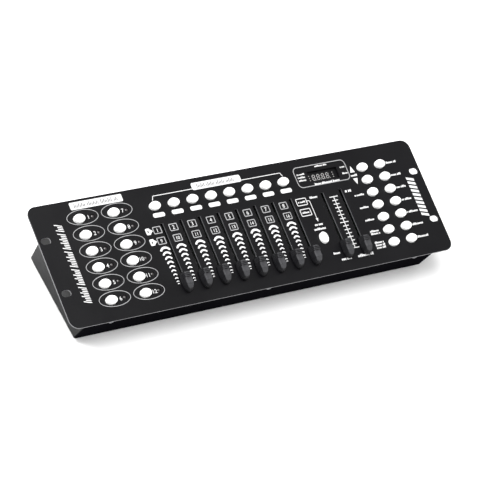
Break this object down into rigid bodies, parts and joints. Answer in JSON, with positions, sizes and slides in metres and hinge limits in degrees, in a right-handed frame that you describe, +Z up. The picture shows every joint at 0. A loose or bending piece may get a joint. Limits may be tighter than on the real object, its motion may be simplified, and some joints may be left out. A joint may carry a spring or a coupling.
{
  "type": "lighting control desk",
  "caption": "Rack-width lighting control desk: sloped black steel panel with oval push buttons, slide faders and a digit display on a wedge-shaped base.",
  "frame": {"origin": "centre of the footprint, on the table under the feet", "axes": "+X to the operator's right along the panel's long side, +Y away from the operator, +Z up"},
  "size_m": [0.4826, 0.13, 0.0673],
  "materials": {
    "panel_paint": "satin black powder coat with white print",
    "chassis_paint": "satin black powder coat",
    "foot_rubber": "matte black rubber",
    "screw_black": "black zinc",
    "board_resin": "green solder mask",
    "spacer_steel": "plated steel",
    "track_steel": "plated steel",
    "switch_plastic": "black moulded switch",
    "lamp_resin": "unlit dark lamp",
    "display_resin": "black face with pale unlit digits",
    "connector_black": "black moulded connector",
    "button_white": "white moulded silicone-feel plastic",
    "cap_black": "black moulded cap with a dark grey pad",
    "rocker_black": "gloss black"
  },
  "bodies": {
    "desk": {"front_panel": "panel_paint", "bottom_chassis": "chassis_paint", "rubber_feet": "foot_rubber", "case_screws": "screw_black", "control_board": "board_resin", "board_spacers": "spacer_steel", "fader_tracks": "track_steel", "tact_switches": "switch_plastic", "indicator_lamps": "lamp_resin", "display_module": "display_resin", "xlr_socket": "connector_black", "midi_socket": "connector_black", "dc_inlet": "connector_black", "switch_frame": "connector_black"},
    "scan_button_1": {"scan_button_1": "button_white"},
    "scan_button_2": {"scan_button_2": "button_white"},
    "scan_button_3": {"scan_button_3": "button_white"},
    "scan_button_4": {"scan_button_4": "button_white"},
    "scan_button_5": {"scan_button_5": "button_white"},
    "scan_button_6": {"scan_button_6": "button_white"},
    "scan_button_7": {"scan_button_7": "button_white"},
    "scan_button_8": {"scan_button_8": "button_white"},
    "scan_button_9": {"scan_button_9": "button_white"},
    "scan_button_10": {"scan_button_10": "button_white"},
    "scan_button_11": {"scan_button_11": "button_white"},
    "scan_button_12": {"scan_button_12": "button_white"},
    "scene_button_1": {"scene_button_1": "button_white"},
    "scene_button_2": {"scene_button_2": "button_white"},
    "scene_button_3": {"scene_button_3": "button_white"},
    "scene_button_4": {"scene_button_4": "button_white"},
    "scene_button_5": {"scene_button_5": "button_white"},
    "scene_button_6": {"scene_button_6": "button_white"},
    "scene_button_7": {"scene_button_7": "button_white"},
    "scene_button_8": {"scene_button_8": "button_white"},
    "mode_button_1": {"mode_button_1": "button_white"},
    "mode_button_2": {"mode_button_2": "button_white"},
    "mode_button_3": {"mode_button_3": "button_white"},
    "mode_button_4": {"mode_button_4": "button_white"},
    "mode_button_5": {"mode_button_5": "button_white"},
    "mode_button_6": {"mode_button_6": "button_white"},
    "mode_button_7": {"mode_button_7": "button_white"},
    "mode_button_8": {"mode_button_8": "button_white"},
    "mode_button_9": {"mode_button_9": "button_white"},
    "mode_button_10": {"mode_button_10": "button_white"},
    "mode_button_11": {"mode_button_11": "button_white"},
    "mode_button_12": {"mode_button_12": "button_white"},
    "mode_button_13": {"mode_button_13": "button_white"},
    "mode_button_14": {"mode_button_14": "button_white"},
    "page_button": {"page_button": "button_white"},
    "channel_fader_1": {"channel_fader_1": "cap_black"},
    "channel_fader_2": {"channel_fader_2": "cap_black"},
    "channel_fader_3": {"channel_fader_3": "cap_black"},
    "channel_fader_4": {"channel_fader_4": "cap_black"},
    "channel_fader_5": {"channel_fader_5": "cap_black"},
    "channel_fader_6": {"channel_fader_6": "cap_black"},
    "channel_fader_7": {"channel_fader_7": "cap_black"},
    "channel_fader_8": {"channel_fader_8": "cap_black"},
    "speed_fader": {"speed_fader": "cap_black"},
    "fade_fader": {"fade_fader": "cap_black"},
    "power_rocker": {"power_rocker": "rocker_black"}
  },
  "joints": [
    {"name": "channel_fader_1_slide", "type": "slide", "parent": "desk", "child": "channel_fader_1", "axis": [0, 0.9781, 0.2079], "range_m": [0, 0.06]},
    {"name": "channel_fader_2_slide", "type": "slide", "parent": "desk", "child": "channel_fader_2", "axis": [0, 0.9781, 0.2079], "range_m": [0, 0.06]},
    {"name": "channel_fader_3_slide", "type": "slide", "parent": "desk", "child": "channel_fader_3", "axis": [0, 0.9781, 0.2079], "range_m": [0, 0.06]},
    {"name": "channel_fader_4_slide", "type": "slide", "parent": "desk", "child": "channel_fader_4", "axis": [0, 0.9781, 0.2079], "range_m": [0, 0.06]},
    {"name": "channel_fader_5_slide", "type": "slide", "parent": "desk", "child": "channel_fader_5", "axis": [0, 0.9781, 0.2079], "range_m": [0, 0.06]},
    {"name": "channel_fader_6_slide", "type": "slide", "parent": "desk", "child": "channel_fader_6", "axis": [0, 0.9781, 0.2079], "range_m": [0, 0.06]},
    {"name": "channel_fader_7_slide", "type": "slide", "parent": "desk", "child": "channel_fader_7", "axis": [0, 0.9781, 0.2079], "range_m": [0, 0.06]},
    {"name": "channel_fader_8_slide", "type": "slide", "parent": "desk", "child": "channel_fader_8", "axis": [0, 0.9781, 0.2079], "range_m": [0, 0.06]},
    {"name": "speed_fader_slide", "type": "slide", "parent": "desk", "child": "speed_fader", "axis": [0, 0.9781, 0.2079], "range_m": [0, 0.06]},
    {"name": "fade_fader_slide", "type": "slide", "parent": "desk", "child": "fade_fader", "axis": [0, 0.9781, 0.2079], "range_m": [0, 0.06]},
    {"name": "power_rocker_tilt", "type": "hinge", "parent": "desk", "child": "power_rocker", "pos_m": [-0.185, 0.04785, 0.0175], "axis": [1, 0, 0], "range_deg": [0, 20]},
    {"name": "scan_button_1_press", "type": "slide", "parent": "desk", "child": "scan_button_1", "axis": [0, 0.2079, -0.9781], "range_m": [0, 0.0006], "stiffness_N_per_m": 300, "springref_m": -0.0006},
    {"name": "scan_button_2_press", "type": "slide", "parent": "desk", "child": "scan_button_2", "axis": [0, 0.2079, -0.9781], "range_m": [0, 0.0006], "stiffness_N_per_m": 300, "springref_m": -0.0006},
    {"name": "scan_button_3_press", "type": "slide", "parent": "desk", "child": "scan_button_3", "axis": [0, 0.2079, -0.9781], "range_m": [0, 0.0006], "stiffness_N_per_m": 300, "springref_m": -0.0006},
    {"name": "scan_button_4_press", "type": "slide", "parent": "desk", "child": "scan_button_4", "axis": [0, 0.2079, -0.9781], "range_m": [0, 0.0006], "stiffness_N_per_m": 300, "springref_m": -0.0006},
    {"name": "scan_button_5_press", "type": "slide", "parent": "desk", "child": "scan_button_5", "axis": [0, 0.2079, -0.9781], "range_m": [0, 0.0006], "stiffness_N_per_m": 300, "springref_m": -0.0006},
    {"name": "scan_button_6_press", "type": "slide", "parent": "desk", "child": "scan_button_6", "axis": [0, 0.2079, -0.9781], "range_m": [0, 0.0006], "stiffness_N_per_m": 300, "springref_m": -0.0006},
    {"name": "scan_button_7_press", "type": "slide", "parent": "desk", "child": "scan_button_7", "axis": [0, 0.2079, -0.9781], "range_m": [0, 0.0006], "stiffness_N_per_m": 300, "springref_m": -0.0006},
    {"name": "scan_button_8_press", "type": "slide", "parent": "desk", "child": "scan_button_8", "axis": [0, 0.2079, -0.9781], "range_m": [0, 0.0006], "stiffness_N_per_m": 300, "springref_m": -0.0006},
    {"name": "scan_button_9_press", "type": "slide", "parent": "desk", "child": "scan_button_9", "axis": [0, 0.2079, -0.9781], "range_m": [0, 0.0006], "stiffness_N_per_m": 300, "springref_m": -0.0006},
    {"name": "scan_button_10_press", "type": "slide", "parent": "desk", "child": "scan_button_10", "axis": [0, 0.2079, -0.9781], "range_m": [0, 0.0006], "stiffness_N_per_m": 300, "springref_m": -0.0006},
    {"name": "scan_button_11_press", "type": "slide", "parent": "desk", "child": "scan_button_11", "axis": [0, 0.2079, -0.9781], "range_m": [0, 0.0006], "stiffness_N_per_m": 300, "springref_m": -0.0006},
    {"name": "scan_button_12_press", "type": "slide", "parent": "desk", "child": "scan_button_12", "axis": [0, 0.2079, -0.9781], "range_m": [0, 0.0006], "stiffness_N_per_m": 300, "springref_m": -0.0006},
    {"name": "scene_button_1_press", "type": "slide", "parent": "desk", "child": "scene_button_1", "axis": [0, 0.2079, -0.9781], "range_m": [0, 0.0006], "stiffness_N_per_m": 300, "springref_m": -0.0006},
    {"name": "scene_button_2_press", "type": "slide", "parent": "desk", "child": "scene_button_2", "axis": [0, 0.2079, -0.9781], "range_m": [0, 0.0006], "stiffness_N_per_m": 300, "springref_m": -0.0006},
    {"name": "scene_button_3_press", "type": "slide", "parent": "desk", "child": "scene_button_3", "axis": [0, 0.2079, -0.9781], "range_m": [0, 0.0006], "stiffness_N_per_m": 300, "springref_m": -0.0006},
    {"name": "scene_button_4_press", "type": "slide", "parent": "desk", "child": "scene_button_4", "axis": [0, 0.2079, -0.9781], "range_m": [0, 0.0006], "stiffness_N_per_m": 300, "springref_m": -0.0006},
    {"name": "scene_button_5_press", "type": "slide", "parent": "desk", "child": "scene_button_5", "axis": [0, 0.2079, -0.9781], "range_m": [0, 0.0006], "stiffness_N_per_m": 300, "springref_m": -0.0006},
    {"name": "scene_button_6_press", "type": "slide", "parent": "desk", "child": "scene_button_6", "axis": [0, 0.2079, -0.9781], "range_m": [0, 0.0006], "stiffness_N_per_m": 300, "springref_m": -0.0006},
    {"name": "scene_button_7_press", "type": "slide", "parent": "desk", "child": "scene_button_7", "axis": [0, 0.2079, -0.9781], "range_m": [0, 0.0006], "stiffness_N_per_m": 300, "springref_m": -0.0006},
    {"name": "scene_button_8_press", "type": "slide", "parent": "desk", "child": "scene_button_8", "axis": [0, 0.2079, -0.9781], "range_m": [0, 0.0006], "stiffness_N_per_m": 300, "springref_m": -0.0006},
    {"name": "mode_button_1_press", "type": "slide", "parent": "desk", "child": "mode_button_1", "axis": [0, 0.2079, -0.9781], "range_m": [0, 0.0006], "stiffness_N_per_m": 300, "springref_m": -0.0006},
    {"name": "mode_button_2_press", "type": "slide", "parent": "desk", "child": "mode_button_2", "axis": [0, 0.2079, -0.9781], "range_m": [0, 0.0006], "stiffness_N_per_m": 300, "springref_m": -0.0006},
    {"name": "mode_button_3_press", "type": "slide", "parent": "desk", "child": "mode_button_3", "axis": [0, 0.2079, -0.9781], "range_m": [0, 0.0006], "stiffness_N_per_m": 300, "springref_m": -0.0006},
    {"name": "mode_button_4_press", "type": "slide", "parent": "desk", "child": "mode_button_4", "axis": [0, 0.2079, -0.9781], "range_m": [0, 0.0006], "stiffness_N_per_m": 300, "springref_m": -0.0006},
    {"name": "mode_button_5_press", "type": "slide", "parent": "desk", "child": "mode_button_5", "axis": [0, 0.2079, -0.9781], "range_m": [0, 0.0006], "stiffness_N_per_m": 300, "springref_m": -0.0006},
    {"name": "mode_button_6_press", "type": "slide", "parent": "desk", "child": "mode_button_6", "axis": [0, 0.2079, -0.9781], "range_m": [0, 0.0006], "stiffness_N_per_m": 300, "springref_m": -0.0006},
    {"name": "mode_button_7_press", "type": "slide", "parent": "desk", "child": "mode_button_7", "axis": [0, 0.2079, -0.9781], "range_m": [0, 0.0006], "stiffness_N_per_m": 300, "springref_m": -0.0006},
    {"name": "mode_button_8_press", "type": "slide", "parent": "desk", "child": "mode_button_8", "axis": [0, 0.2079, -0.9781], "range_m": [0, 0.0006], "stiffness_N_per_m": 300, "springref_m": -0.0006},
    {"name": "mode_button_9_press", "type": "slide", "parent": "desk", "child": "mode_button_9", "axis": [0, 0.2079, -0.9781], "range_m": [0, 0.0006], "stiffness_N_per_m": 300, "springref_m": -0.0006},
    {"name": "mode_button_10_press", "type": "slide", "parent": "desk", "child": "mode_button_10", "axis": [0, 0.2079, -0.9781], "range_m": [0, 0.0006], "stiffness_N_per_m": 300, "springref_m": -0.0006},
    {"name": "mode_button_11_press", "type": "slide", "parent": "desk", "child": "mode_button_11", "axis": [0, 0.2079, -0.9781], "range_m": [0, 0.0006], "stiffness_N_per_m": 300, "springref_m": -0.0006},
    {"name": "mode_button_12_press", "type": "slide", "parent": "desk", "child": "mode_button_12", "axis": [0, 0.2079, -0.9781], "range_m": [0, 0.0006], "stiffness_N_per_m": 300, "springref_m": -0.0006},
    {"name": "mode_button_13_press", "type": "slide", "parent": "desk", "child": "mode_button_13", "axis": [0, 0.2079, -0.9781], "range_m": [0, 0.0006], "stiffness_N_per_m": 300, "springref_m": -0.0006},
    {"name": "mode_button_14_press", "type": "slide", "parent": "desk", "child": "mode_button_14", "axis": [0, 0.2079, -0.9781], "range_m": [0, 0.0006], "stiffness_N_per_m": 300, "springref_m": -0.0006},
    {"name": "page_button_press", "type": "slide", "parent": "desk", "child": "page_button", "axis": [0, 0.2079, -0.9781], "range_m": [0, 0.0006], "stiffness_N_per_m": 300, "springref_m": -0.0006}
  ]
}
